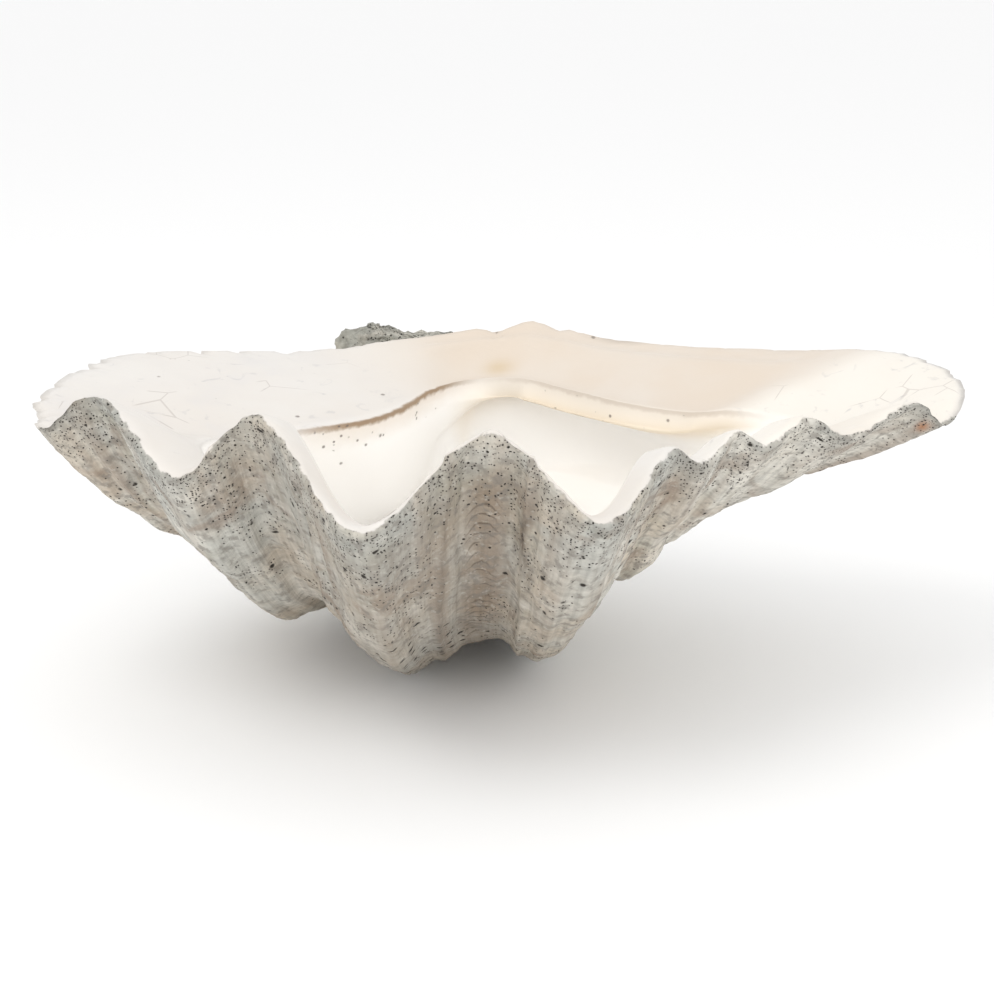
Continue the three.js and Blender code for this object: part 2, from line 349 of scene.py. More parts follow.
def bell(values, centre, width):
    return np.exp(-((values - centre) / width) ** 2)


def stretch(places, name):
    """1 within a named stretch of the ring, 0 outside it, with soft ends."""
    start, full, fading, end = STRETCHES[name]
    return smooth_step(places, start, full) * (1 - smooth_step(places, fading, end))


def past_hinge(places):
    """Places that go on past the hinge, so that a stretch can cross it."""
    return np.where(places < HINGE_SPLIT, places + COUNT, places)


def lip_rows(places, shares):
    """The lip and the shelf: a rounded edge, then a plain slope down to the crease."""
    rim = ring_curve(station_points(1), places)
    crease = ring_curve(station_points(2), places)
    rows = []
    for share in shares:
        row = rim + (crease - rim) * share
        row[:, 2] += LIP_ROUND * math.sin(math.pi * math.sqrt(share))
        rows.append(row)
    return np.array(rows)


def wall_rows(places, turns):
    """The bowl's wall starts at the shelf's nose and joins the spiral behind it."""
    roots = root_points()
    hang = ring_curve(nose_points(), places) - ring_curve(roots, places)
    share = 1 - smooth_step(np.array(turns), 0, SHELF_FADE)
    rows = spiral(BOWL, roots, station_column(4), places, turns) + hang * share[:, None, None]
    return rounded_off(BOWL, rows, turns)


REST_TURN = np.array((Matrix.Rotation(ROLL, 3, "Y") @ Matrix.Rotation(PITCH, 3, "X")))


def rest_shift():
    """How far the turned valve moves so that its box and its worn base are those of the frame."""
    places = np.arange(CAD_COLUMNS) * COUNT / CAD_COLUMNS
    skin = np.concatenate([outside_rows(places, CAD_TURNS), lip_rows(places, (0.25, 0.7))]) @ REST_TURN.T
    low = skin.reshape(-1, 3).min(axis=0)
    low[2] += WEAR
    return np.array(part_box("valve")[0]) - low


def set_down(points, shift):
    return points @ REST_TURN.T + shift


# ---- the fine skin ----

def column_places(columns):
    """Places of the columns, evenly spaced by rim length, closest on the folded free edge."""
    fine = np.linspace(0, COUNT, 4001)
    rim = ring_curve(station_points(1), fine % COUNT)
    steps = np.linalg.norm(np.diff(rim, axis=0), axis=1)
    middles = (fine[1:] + fine[:-1]) / 2
    close = stretch(middles, "close columns")
    free_length = (steps * close).sum()
    back_length = (steps * (1 - close)).sum()
    density = close * FREE_EDGE_SHARE / free_length + (1 - close) * (1 - FREE_EDGE_SHARE) / back_length
    filled = np.concatenate([[0], np.cumsum(steps * density)])
    around = np.concatenate([[0], np.cumsum(steps)])
    wanted = np.linspace(0, filled[-1], columns + 1)
    return np.interp(wanted, filled, fine), np.interp(wanted, filled, around)


def outside_turns():
    """Turns of the outside's rows, from the rim: evenly spaced by length down to the base, then wider."""
    near = -np.log(1 - np.linspace(0, 1 - math.exp(-ROW_SHRINK * BEAK_TURN), OUTSIDE_ROWS)) / ROW_SHRINK
    far = np.linspace(BEAK_TURN, OUTSIDE.blunt_start, BEAK_ROWS + 1)[1:]
    return np.concatenate([near, far, closing_turns(OUTSIDE)])


def closing_turns(shape):
    """Turns of the rows that round a spiral off, closer and closer together."""
    angles = np.linspace(0, math.pi / 2, END_ROWS + 1)[1:]
    return shape.blunt_start + (shape.blunt_end - shape.blunt_start) * np.sin(angles)


def noise_over(points, seed):
    flat = points.reshape(-1, 3) + np.array([seed * 17.3, seed * 5.1, seed * 9.7])
    return np.array([noise.noise(point) for point in flat.tolist()]).reshape(points.shape[:-1])


def make_skin(columns):
    """The plain skin as a grid of points, with its growth coordinates."""
    places, around = column_places(columns)
    wrapped = places % COUNT
    turns = outside_turns()
    shares = np.linspace(0, 1, LIP_ROWS + 1)[1:]
    wall_turns = np.concatenate([np.linspace(0, BOWL.blunt_start, WALL_ROWS), closing_turns(BOWL)])
    outer = outside_rows(wrapped, turns[::-1])
    lip = lip_rows(wrapped, shares)
    wall = wall_rows(wrapped, wall_turns)
    points = np.concatenate([outer, lip, wall])
    skin = SimpleNamespace(points=points, ring=around[-1])
    rows = len(points)

    def per_row(*parts):
        return np.concatenate(parts)[:, None] * np.ones(columns + 1)

    skin.turn = per_row(turns[::-1], np.zeros(LIP_ROWS + len(wall)))
    skin.share = per_row(np.zeros(len(turns)), shares, np.ones(len(wall)))
    skin.wall = per_row(np.zeros(len(turns) + LIP_ROWS), wall_turns)
    skin.place = np.ones((rows, 1)) * wrapped
    skin.around = np.ones((rows, 1)) * around
    steps = np.linalg.norm(np.diff(points, axis=0), axis=2)
    run = np.concatenate([np.zeros((1, columns + 1)), np.cumsum(steps, axis=0)])
    skin.grown = run[len(turns) - 1] - run
    skin.below_crease = run - run[len(turns) + LIP_ROWS - 1]
    row_steps = np.linalg.norm(np.diff(points, axis=1), axis=2)
    row_run = np.concatenate([np.zeros((rows, 1)), np.cumsum(row_steps, axis=1)], axis=1)
    middle = int(np.argmin(np.abs(places - PLACE["groove 3"])))
    skin.across = row_run - row_run[:, middle:middle + 1]
    skin.outer = 1 - smooth_step(skin.share, 0.05, 0.45)
    skin.growth_length = (1 - np.exp(-ROW_SHRINK * skin.turn)) * GROWTH_REACH - 0.02 * skin.share
    rim = ring_curve(station_points(1), wrapped)
    slope = np.abs(np.gradient(rim[:, 2])) / np.maximum(np.gradient(around), 1e-6)
    skin.flank = np.ones((rows, 1)) * np.clip(slope / 0.55, 0, 1)
    return skin


def skin_normals(points):
    """Outward normals of the grid; the last column repeats the first."""
    ring = points[:, :-1]
    along = np.gradient(points, axis=0)[:, :-1]
    around = np.roll(ring, -1, axis=1) - np.roll(ring, 1, axis=1)
    normals = np.cross(along, around)
    length = np.linalg.norm(normals, axis=2, keepdims=True)
    normals = normals / np.maximum(length, 1e-12)
    return np.concatenate([normals, normals[:, :1]], axis=1)


def streaks(skin, width, length, seed):
    """Noise drawn out along the growth, unbroken round the ring."""
    angle = 2 * math.pi * skin.around / skin.ring
    radius = skin.ring / (2 * math.pi * width)
    spots = np.stack([radius * np.cos(angle), radius * np.sin(angle), skin.growth_length / length], axis=-1)
    return noise_over(spots, seed)


def riblets(skin):
    """Fine ribs down the folds, strongest on the flanks, -1 to 1."""
    broad = streaks(skin, 0.013, 0.30, 1)
    narrow = streaks(skin, 0.0065, 0.18, 2)
    strength = 0.35 + 0.65 * skin.flank
    fade = np.exp(-skin.turn / 1.7) * (0.55 + 0.45 * smooth_step(skin.turn, 0.0, 0.12))
    return (1.5 * broad + 0.7 * narrow) * strength * fade


def side_ribs(skin):
    """Broad ribs on the flanks of the folds, -1 to 1."""
    ribs = streaks(skin, 0.021, 0.9, 11)
    fade = np.exp(-skin.turn / 2.2) * (0.4 + 0.6 * smooth_step(skin.turn, 0.0, 0.2))
    return 1.6 * ribs * (0.25 + 0.75 * skin.flank) * fade * stretch(skin.place, "free edge")


def ledges(skin):
    """Steps of former edges, 0 to 1, wider and narrower as the years went."""
    wobble = streaks(skin, 0.060, 0.20, 3) * 0.012
    wide = (skin.growth_length + wobble) / 0.034
    narrow = (skin.growth_length + wobble * 0.6) / 0.0125
    saw_wide = 1 - (wide - np.floor(wide))
    saw_narrow = 1 - (narrow - np.floor(narrow))
    presence = 0.5 + 0.8 * streaks(skin, 0.045, 0.09, 4)
    return (0.65 * saw_wide ** 2 + 0.35 * saw_narrow) * np.clip(presence, 0, 1)


def middle_fold(skin, shape):
    """The channel down the middle fold, its flanking ridges and its arched lamellae, in metres."""
    reach = 1 - smooth_step(skin.turn, 1.05, 1.45)
    across = skin.across / MM
    channel = -shape.groove_depth * bell(across, 0, 7)
    ridges = 0.5 * shape.groove_depth * (bell(across, -13, 4) + bell(across, 13, 4))
    furrows = -0.7 * shape.groove_depth * (bell(across, -28, 2.6) + bell(across, 28, 2.8))
    shoulders = 0.4 * shape.groove_depth * (bell(across, -33, 4) + bell(across, 34, 4))
    arch = (skin.grown - LAMELLA_BEND * skin.across ** 2) / RELIEF_LAMELLA_STEP
    lamellae = 0.8 * MM * (1 - (arch - np.floor(arch))) * bell(across, 0, 9)
    lamellae *= smooth_step(skin.grown, 0.02, 0.035)
    near = bell(skin.place, PLACE["groove 3"], 1.4)
    return (channel + ridges + furrows + shoulders + lamellae) * reach * skin.outer * near


def hinge_plate(skin, shape):
    """The thick plate right of the hinge and the groove behind it, in metres."""
    on_plate = stretch(past_hinge(skin.place), "plate ridge")
    on_shelf = smooth_step(skin.share, 0.02, 0.12) * (1 - smooth_step(skin.wall, 0, 0.1))
    ridge = bell(skin.share, 0.80, 0.26) - 0.7 * bell(skin.share, 0.36, 0.09)
    ridge += 0.5 * bell(skin.share, 0.2, 0.1)
    return shape.plate_height * ridge * on_plate * on_shelf


def hinge_knuckles(skin, shape):
    """How far the back edge rises and dips at the hinge, in metres."""
    place = past_hinge(skin.place)
    rise = bell(place, 30.1, 0.22) - 0.6 * bell(place, 30.5, 0.07) + 0.45 * bell(place, 30.8, 0.16)
    rise += 0.35 * bell(place, 29.5, 0.12) - 0.3 * bell(place, 29.75, 0.08)
    near_edge = np.exp(-skin.turn / 0.12) * (1 - smooth_step(skin.share, 0.05, 0.4))
    return shape.knuckle_height * rise * near_edge


def back_chips(skin, shape):
    """How far the back edge is chipped away towards the crease, in metres."""
    ragged = np.clip(streaks(skin, 0.016, 10, 5) + 0.8 * streaks(skin, 0.006, 10, 6) + 0.1, 0, 1)
    where = np.maximum(stretch(skin.place, "chips left"), 0.35 * stretch(skin.place, "chips right"))
    near_edge = np.exp(-skin.turn / 0.05) * (1 - smooth_step(skin.share, 0, 0.35))
    return shape.chip_depth * ragged * where * near_edge


def add_relief(skin, shape):
    """Moves the skin's points along their normals, and keeps what the finish needs."""
    normals = skin_normals(skin.points)
    skin.ribs = riblets(skin)
    height = skin.outer * (shape.riblet_height * skin.ribs + shape.ledge_height * (ledges(skin) - 0.4))
    height += skin.outer * shape.side_rib_height * side_ribs(skin)
    slow = noise_over(skin.points / 0.055, 7) + 0.5 * noise_over(skin.points / 0.024, 8)
    height += shape.undulation * slow * skin.outer * smooth_step(skin.turn, 0.05, 0.3)
    height += middle_fold(skin, shape)
    height += hinge_plate(skin, shape)
    lip_rough = noise_over(skin.points / 0.008, 9) * bell(skin.grown, 0.002, 0.012)
    height += 1.3 * MM * lip_rough * stretch(skin.place, "free edge")
    poles = np.minimum(np.arange(len(height)), np.arange(len(height))[::-1])
    height *= smooth_step(poles, 0, 4)[:, None]
    chips = back_chips(skin, shape)
    inward = np.array(OUTSIDE.pole) + np.array([0.0, -0.15, 0.0]) - skin.points
    inward /= np.linalg.norm(inward, axis=2, keepdims=True)
    skin.points = skin.points + normals * height[..., None] + inward * chips[..., None]
    skin.points[..., 2] += hinge_knuckles(skin, shape) - 0.35 * chips


# ---- the mesh ----

def deselect_all():
    if bpy.context.object and bpy.context.object.mode != "OBJECT":
        bpy.ops.object.mode_set(mode="OBJECT")
    bpy.ops.object.select_all(action="DESELECT")


def add_attribute(mesh, name, values):
    mesh.attributes.new(name, "FLOAT", "POINT").data.foreach_set("value", values.astype(np.float32).ravel())


def add_weights(piece, name, values):
    group = piece.vertex_groups.new(name=name)
    for index in np.flatnonzero(values > 0.01).tolist():
        group.add([index], float(values[index]), "REPLACE")


def displace(piece, name, kind, size, strength, group, **settings):
    """Displaces the piece along its normals by a procedural texture, and applies it."""
    texture = bpy.data.textures.new(name, kind)
    texture.noise_scale = size
    for setting, value in settings.items():
        setattr(texture, setting, value)
    modifier = piece.modifiers.new(name, "DISPLACE")
    modifier.texture = texture
    modifier.texture_coords = "LOCAL"
    modifier.mid_level = 0.5
    modifier.strength = strength
    modifier.vertex_group = group
    bpy.ops.object.modifier_apply(modifier=name)
    bpy.data.textures.remove(texture)


def outside_masks(skin):
    """Where the finishes of the outside lie, 0 to 1; those called a way are in metres."""
    free = stretch(skin.place, "free edge")
    across = skin.across / MM
    reach = smooth_step(skin.grown, 0.01, 0.04) * (1 - smooth_step(skin.turn, 1.1, 1.5))
    furrow_left = 0.7 * bell(across, -28, 1.8) * smooth_step(skin.grown, 0.01, 0.04)
    furrow_right = bell(across, 29 + 4 * np.sin(skin.grown / 0.012), 2.8) * bell(skin.grown, 0.06, 0.045)
    on_fold = bell(skin.place, PLACE["rib 3"] + 0.3, 1.5)
    return {
        "rim_way": BORDER_BACK + (BORDER_FREE - BORDER_BACK) * free - skin.grown,
        "across_way": skin.across,
        "grown_way": skin.grown,
        "lip_band": np.exp(-(np.maximum(skin.grown, 0) / 0.024) ** 1.5) * free,
        # The riblets' furrows, laid darker in mauve: partly stain, partly painted shade where the relief
        # dips.
        "furrows": np.clip(-skin.ribs * 1.3, 0, 1) * skin.outer,
        "groove": bell(across, 0, 12) * reach * skin.outer,
        "furrow_lines": np.maximum(furrow_left, furrow_right) * skin.outer,
        "middle": on_fold * smooth_step(skin.grown, 0.0, 0.03),
        "beak": smooth_step(skin.turn, 1.5, 2.2),
        "low_rib": bell(skin.place, PLACE["rib 3"], 0.6) * bell(skin.turn, 0.54, 0.16),
        # The base, away from the rim, laid greener and darker: partly grime, partly painted shade of the
        # underside.
        "base": smooth_step(skin.turn, 0.45, 1.2),
        # The right-hand side, where painted light from the right is laid in bleached patches.
        "painted_light_side": stretch(skin.place, "pale folds"),
        "rust": bell(skin.place, PLACE["rib 8"] - 0.38, 0.15) * bell(skin.grown, 0.011, 0.0045),
    }


def inside_masks(skin):
    """Where the finishes of the shelf and the bowl lie, 0 to 1; crease_way is in metres."""
    place = past_hinge(skin.place)
    crease = np.maximum(stretch(place, "crease left"), 0.28 * stretch(place, "crease right"))
    below = smooth_step(skin.below_crease, -0.002, 0.004)
    below *= 1 - smooth_step(skin.below_crease, 0.02, 0.11)
    on_lip = smooth_step(skin.share, 0, 0.05)
    on_shelf = 1 - smooth_step(skin.wall, 0, 0.05)
    back_marks = bell(place, 28.7, 0.6) + 0.6 * bell(place, 27.3, 0.4)
    return {
        "crease_way": skin.below_crease,
        "crease_stain": crease,
        "bowl": smooth_step(skin.below_crease, -0.003, 0.004),
        "plate": stretch(place, "plate colour"),
        # Painted shade: the hollow under the hinge plate, just below the crease, is tinted tan.
        "under_plate_shade": stretch(place, "under plate") * below,
        "socket": bell(place, COUNT - 0.6, 0.22) * bell(skin.share, 0.76, 0.11) * on_shelf,
        "back_marks": back_marks * bell(skin.share, 0.07, 0.07),
        "arm": stretch(place, "arm") * on_lip,
        "dish": stretch(skin.place, "dish") * on_lip,
    }


def close_skin(skin):
    """Lays the skin as the valve rests, and closes its seam and its two poles."""
    skin.points = set_down(skin.points, rest_shift())
    skin.points[..., 2] = np.maximum(skin.points[..., 2], 0)
    skin.points[:, -1] = skin.points[:, 0]
    skin.points[0] = skin.points[1].mean(axis=0)
    skin.points[-1] = skin.points[-2].mean(axis=0)


def lay_grid(skin):
    """Adds a grid and moves its vertices to the skin; also tells each vertex's row and column."""
    rows, across = skin.points.shape[:2]
    deselect_all()
    bpy.ops.mesh.primitive_grid_add(x_subdivisions=across - 1, y_subdivisions=rows - 1, size=1, calc_uvs=True)
    piece = bpy.context.object
    piece.name = "clam_valve"
    mesh = piece.data
    mesh.name = "clam_valve"
    spots = vertex_spots(mesh)
    column = np.rint((spots[:, 0] + 0.5) * (across - 1)).astype(int)
    row = np.rint((spots[:, 1] + 0.5) * (rows - 1)).astype(int)
    mesh.vertices.foreach_set("co", skin.points[row, column].astype(np.float32).ravel())
    return piece, row, column


def vertex_spots(mesh):
    spots = np.empty(len(mesh.vertices) * 3, np.float32)
    mesh.vertices.foreach_get("co", spots)
    return spots.reshape(-1, 3)


def add_growth_uv(mesh, skin, row, column):
    """A UV map in metres: round the ring, and along the growth or down from the crease."""
    corners = np.empty(len(mesh.loops), np.int32)
    mesh.loops.foreach_get("vertex_index", corners)
    along = skin.growth_length - skin.below_crease * (skin.turn == 0)
    uv = np.stack([skin.around[row, column], along[row, column]], axis=-1)
    layer = mesh.uv_layers.active
    layer.name = "growth"
    layer.data.foreach_set("uv", uv[corners].astype(np.float32).ravel())


def weld():
    """Joins the seam's and the poles' doubled vertices, and turns the faces outwards."""
    bpy.ops.object.mode_set(mode="EDIT")
    bpy.ops.mesh.select_all(action="SELECT")
    bpy.ops.mesh.remove_doubles(threshold=WELD)
    bpy.ops.mesh.normals_make_consistent(inside=False)
    bpy.ops.object.mode_set(mode="OBJECT")


def grow_mesh(shape):
    """Grows the valve's skin, lays a grid on it, marks its finishes and roughens it."""
    skin = make_skin(shape.columns)
    add_relief(skin, shape)
    close_skin(skin)
    piece, row, column = lay_grid(skin)
    mesh = piece.data
    add_growth_uv(mesh, skin, row, column)
    masks = {**outside_masks(skin), **inside_masks(skin)}
    for name, values in masks.items():
        add_attribute(mesh, name, values[row, column])
    add_weights(piece, "outside", (skin.outer * smooth_step(skin.turn, 0, 0.1))[row, column])
    add_weights(piece, "crust", masks["beak"][row, column])

    weld()
    displace(piece, "grain of the chalk", "CLOUDS", 0.007, 1.6 * MM, "outside", noise_depth=2)
    displace(piece, "knobs of the crust", "VORONOI", 0.012, -shape.crust_height, "crust")
    displace(piece, "grit of the crust", "CLOUDS", 0.005, 0.6 * shape.crust_height, "crust", noise_depth=2)
    spots = vertex_spots(mesh)
    spots[:, 2] = np.maximum(spots[:, 2], 0)
    mesh.vertices.foreach_set("co", spots.ravel())
    bpy.ops.object.shade_smooth()
    return piece


# ---- the finish ----

def node(tree, kind, inputs=None, **settings):
    """Adds a node; each input is a number, a colour or a socket to link."""
    made = tree.nodes.new(kind)
    for name, value in settings.items():
        setattr(made, name, value)
    for name, value in (inputs or {}).items():
        if isinstance(value, bpy.types.NodeSocket):
            tree.links.new(value, made.inputs[name])
        else:
            made.inputs[name].default_value = value
    return made


def maths(tree, operation, first, second=0.0):
    return node(tree, "ShaderNodeMath", {0: first, 1: second}, operation=operation).outputs[0]


def times(tree, first, second):
    return maths(tree, "MULTIPLY", first, second)


def between(tree, value, low, high, start=0.0, end=1.0):
    """Goes smoothly from start to end as the value goes from low to high."""
    made = node(tree, "ShaderNodeMapRange", {"Value": value, "From Min": low, "From Max": high,
                                             "To Min": start, "To Max": end}, interpolation_type="SMOOTHSTEP")
    return made.outputs["Result"]


def mixed(tree, share, first, second, blend="MIX"):
    made = node(tree, "ShaderNodeMix", data_type="RGBA", blend_type=blend)
    for index, value in ((0, share), (6, first), (7, second)):
        if isinstance(value, bpy.types.NodeSocket):
            tree.links.new(value, made.inputs[index])
        elif index == 0:
            made.inputs[0].default_value = value
        else:
            made.inputs[index].default_value = (*value, 1.0)
    return made.outputs[2]


def mask(tree, name):
    return node(tree, "ShaderNodeAttribute", attribute_name=name, attribute_type="GEOMETRY").outputs["Fac"]


def clouds(tree, where, scale, detail=3.0, distortion=0.0):
    made = node(tree, "ShaderNodeTexNoise", {"Vector": where, "Scale": scale, "Detail": detail,
                                             "Distortion": distortion})
    return made.outputs["Fac"]


def patches(tree, where, scale, detail, distortion, *ends):
    """Noise that goes smoothly from one share to another between two of its levels."""
    return between(tree, clouds(tree, where, scale, detail, distortion), *ends)


def patchy(tree, name, where, scale, detail, *ends):
    """A mask broken up by patches."""
    return times(tree, mask(tree, name), patches(tree, where, scale, detail, 0, *ends))


def coated(tree, base, coats):
    """Lays coats over a base colour, one after the other; each is a share and a colour."""
    for share, colour in coats:
        base = mixed(tree, share, base, colour)
    return base


def stretched(tree, where, scale):
    return node(tree, "ShaderNodeMapping", {"Vector": where, "Scale": scale}).outputs["Vector"]


def holes(tree, where, scale, radius, density, flat=False):
    """Scattered round holes: 1 inside a hole. The density says what share of the cells has one."""
    cells = node(tree, "ShaderNodeTexVoronoi", {"Vector": where, "Scale": scale},
                 voronoi_dimensions="2D" if flat else "3D")
    chance = node(tree, "ShaderNodeSeparateColor", {"Color": cells.outputs["Color"]}).outputs[0]
    size = times(tree, radius, between(tree, chance, 0.0, 0.5, 1.15, 0.75))
    here = maths(tree, "LESS_THAN", chance, density)
    edge = times(tree, size, 0.55)
    hole = node(tree, "ShaderNodeMapRange", {"Value": cells.outputs["Distance"], "From Min": size,
                                             "From Max": edge}).outputs["Result"]
    return times(tree, hole, here)


def chalk_colour(tree, finish, where, growth, pits):
    """Colour of the outside: mottled chalk, streaked along the growth, stained in its furrows, with painted
    shade down the riblets' furrows and over the base, and painted light on its right-hand side.
    """
    warm = patches(tree, where, 16, 4, 0.6, 0.36, 0.64)
    base = coated(tree, mixed(tree, warm, finish.chalk, finish.warm_chalk), (
        (patches(tree, where, 19, 5, 0.8, 0.54, 0.70, 0, 0.55), finish.moss_and_base_shade),
        (patches(tree, where, 34, 6, 0, 0.50, 0.70, 0, 0.80), finish.bleached),
        # Painted light: bleached patches over the right-hand side, as if lit from the right, on top of the
        # chalk's own bleaching.
        (patchy(tree, "painted_light_side", where, 25, 4, 0.3, 0.6, 0.35, 0.85), finish.bleached),
        (patches(tree, where, 24, 5, 1.0, 0.53, 0.70, 0, 0.62), finish.mauve),
        (patchy(tree, "groove", where, 45, 3, 0.2, 0.7, 0.35, 0.9), TINTS.channel)))
    for scale, start, end in (((260, 18, 1), 0.82, 1.06), ((22, 210, 1), 0.86, 1.04)):
        streaks_here = clouds(tree, stretched(tree, growth, scale), 1.0, 4)
        level = between(tree, streaks_here, 0.30, 0.62, start, end)
        base = mixed(tree, 1.0, base, grey(tree, level), "MULTIPLY")
    return coated(tree, base, (
        # Mauve down the riblets' furrows: partly stain, partly painted shade.
        (times(tree, mask(tree, "furrows"), 0.5), finish.mauve),
        # Painted shade of the underside: the base laid greener and darker, partly as grime.
        (times(tree, mask(tree, "base"), 0.30), finish.moss_and_base_shade),
        (times(tree, mask(tree, "middle"), 0.46), TINTS.middle_fold),
        (times(tree, lamella_lines(tree, where), 0.75), TINTS.deep_line),
        (patchy(tree, "furrow_lines", where, 130, 4, 0.35, 0.6, 0.3, 0.85), TINTS.deep_line),
        (patchy(tree, "lip_band", where, 60, 4, 0.35, 0.6, 0.2, 0.6), TINTS.lip),
        (patches(tree, where, 150, 5, 0, 0.50, 0.66, 0, 0.60), TINTS.grime),
        (patches(tree, where, 260, 5, 0, 0.55, 0.72, 0, 0.26), finish.bleached),
        (patchy(tree, "beak", where, 90, 4, 0.35, 0.6, 0.1, 0.7), TINTS.crust),
        (times(tree, mask(tree, "rust"), 0.85), finish.rust),
        (pits, finish.pit)))


def lamella_lines(tree, where):
    """Arched edges of the lamellae in the middle channel, 0 to 1."""
    across = mask(tree, "across_way")
    sagging = times(tree, times(tree, across, across), LAMELLA_BEND)
    wobble = times(tree, maths(tree, "SUBTRACT", clouds(tree, where, 90, 3), 0.5), 0.007)
    way = maths(tree, "ADD", maths(tree, "SUBTRACT", mask(tree, "grown_way"), sagging), wobble)
    step = maths(tree, "FRACT", maths(tree, "DIVIDE", way, COLOUR_LAMELLA_STEP))
    off_line = maths(tree, "ABSOLUTE", maths(tree, "SUBTRACT", step, 0.5))
    line = between(tree, off_line, 0.17, 0.05)
    near = between(tree, maths(tree, "ABSOLUTE", across), 0.0125, 0.007)
    strength = patches(tree, where, 50, 3, 0, 0.38, 0.56, 0.15, 1.0)
    return times(tree, times(tree, times(tree, line, near), strength), mask(tree, "groove"))


def grey(tree, level):
    return node(tree, "ShaderNodeCombineColor", {0: level, 1: level, 2: level}).outputs[0]


def chalk_pits(tree, where, growth):
    """Pits and bored holes of the outside, 0 to 1."""
    lip = mask(tree, "lip_band")
    dense = patches(tree, where, 26, 3, 0, 0.42, 0.68)
    fine_share = maths(tree, "ADD", times(tree, lip, 0.85), times(tree, dense, 0.35))
    fine = holes(tree, where, 560, 0.36, fine_share)
    small_share = maths(tree, "ADD", times(tree, lip, 0.42), times(tree, dense, 0.24))
    small = holes(tree, where, 270, 0.25, small_share)
    large_share = patches(tree, where, 12, 2, 0, 0.35, 0.7, 0.03, 0.22)
    large_share = maths(tree, "ADD", large_share, times(tree, mask(tree, "beak"), 0.5))
    large = holes(tree, where, 90, 0.17, large_share)
    slit_share = maths(tree, "ADD", times(tree, mask(tree, "low_rib"), 0.65), 0.003)
    slits = holes(tree, stretched(tree, growth, (75, 210, 1)), 1.0, 0.27, slit_share, flat=True)
    found = maths(tree, "MAXIMUM", fine, small)
    return maths(tree, "MAXIMUM", found, maths(tree, "MAXIMUM", large, slits))


def porcelain_colour(tree, finish, where):
    """Colour of the bowl and the shelf: white to cream, stained along the crease, specked and crazed, with
    painted shade under the hinge plate and, mixed with the stain, below the crease.
    """
    bowl = mixed(tree, patches(tree, where, 8, 3, 0, 0.4, 0.7, 0.0, 0.10), finish.porcelain, finish.shade)
    stained = mask(tree, "crease_stain")
    wobble = maths(tree, "SUBTRACT", clouds(tree, where, 160, 3), 0.5)
    way = maths(tree, "ADD", mask(tree, "crease_way"), times(tree, wobble, 0.005))
    line = times(tree, between(tree, way, -0.0035, -0.0002), between(tree, way, 0.0045, 0.0012))
    # A tan band fading down the wall below the crease: partly the stain's spread, partly painted shade under
    # the crease's edge.
    crease_stain_and_shade = times(tree, between(tree, way, -0.005, 0.001), between(tree, way, 0.022, 0.002, 0, 0.35))
    below = times(tree, between(tree, way, 0.0, 0.003), between(tree, way, 0.028, 0.010))
    bored = holes(tree, where, 190, 0.24, times(tree, times(tree, below, stained), 0.45))
    shelf_specks = holes(tree, where, 75, 0.12, between(tree, mask(tree, "dish"), 0, 1, 0.02, 0.18))
    specks = maths(tree, "MAXIMUM", bored, shelf_specks)
    marks = clouds(tree, stretched(tree, where, (14, 60, 60)), 1.0, 4)
    marks = times(tree, mask(tree, "back_marks"), between(tree, marks, 0.45, 0.65, 0, 0.7))
    on_shelf = maths(tree, "MAXIMUM", mask(tree, "dish"), mask(tree, "arm"))
    on_shelf = times(tree, on_shelf, maths(tree, "SUBTRACT", 1.0, mask(tree, "bowl")))
    crazing = node(tree, "ShaderNodeTexVoronoi", {"Vector": where, "Scale": 33}, feature="DISTANCE_TO_EDGE")
    hair = times(tree, between(tree, crazing.outputs["Distance"], 0.018, 0.006), on_shelf)
    hair = times(tree, hair, patches(tree, where, 20, 2, 0, 0.59, 0.64))
    colour = coated(tree, mixed(tree, mask(tree, "arm"), finish.shelf, finish.arm), (
        (patches(tree, where, 9, 3, 0, 0.35, 0.65, 0.0, 0.30), finish.cream),
        (patchy(tree, "plate", where, 14, 3, 0.3, 0.6, 0.7, 1.0), finish.cream),
        (patchy(tree, "dish", where, 18, 4, 0.45, 0.7, 0.1, 0.6), TINTS.cool_white),
        (mask(tree, "bowl"), bowl),
        # Painted shade under the hinge plate.
        (times(tree, mask(tree, "under_plate_shade"), 0.95), finish.shade),
        (times(tree, mask(tree, "socket"), 0.7), TINTS.socket),
        # Tan below the crease: stain and painted shade.
        (times(tree, crease_stain_and_shade, stained), TINTS.crease_stain_and_shade),
        (times(tree, times(tree, line, stained), 0.9), finish.stain),
        (times(tree, specks, 0.75), TINTS.speck),
        (marks, TINTS.back_mark),
        (times(tree, on_shelf, patches(tree, where, 60, 5, 1.5, 0.60, 0.76, 0, 0.45)), TINTS.smudge),
        (times(tree, hair, 0.36), TINTS.hair)))
    return colour, specks


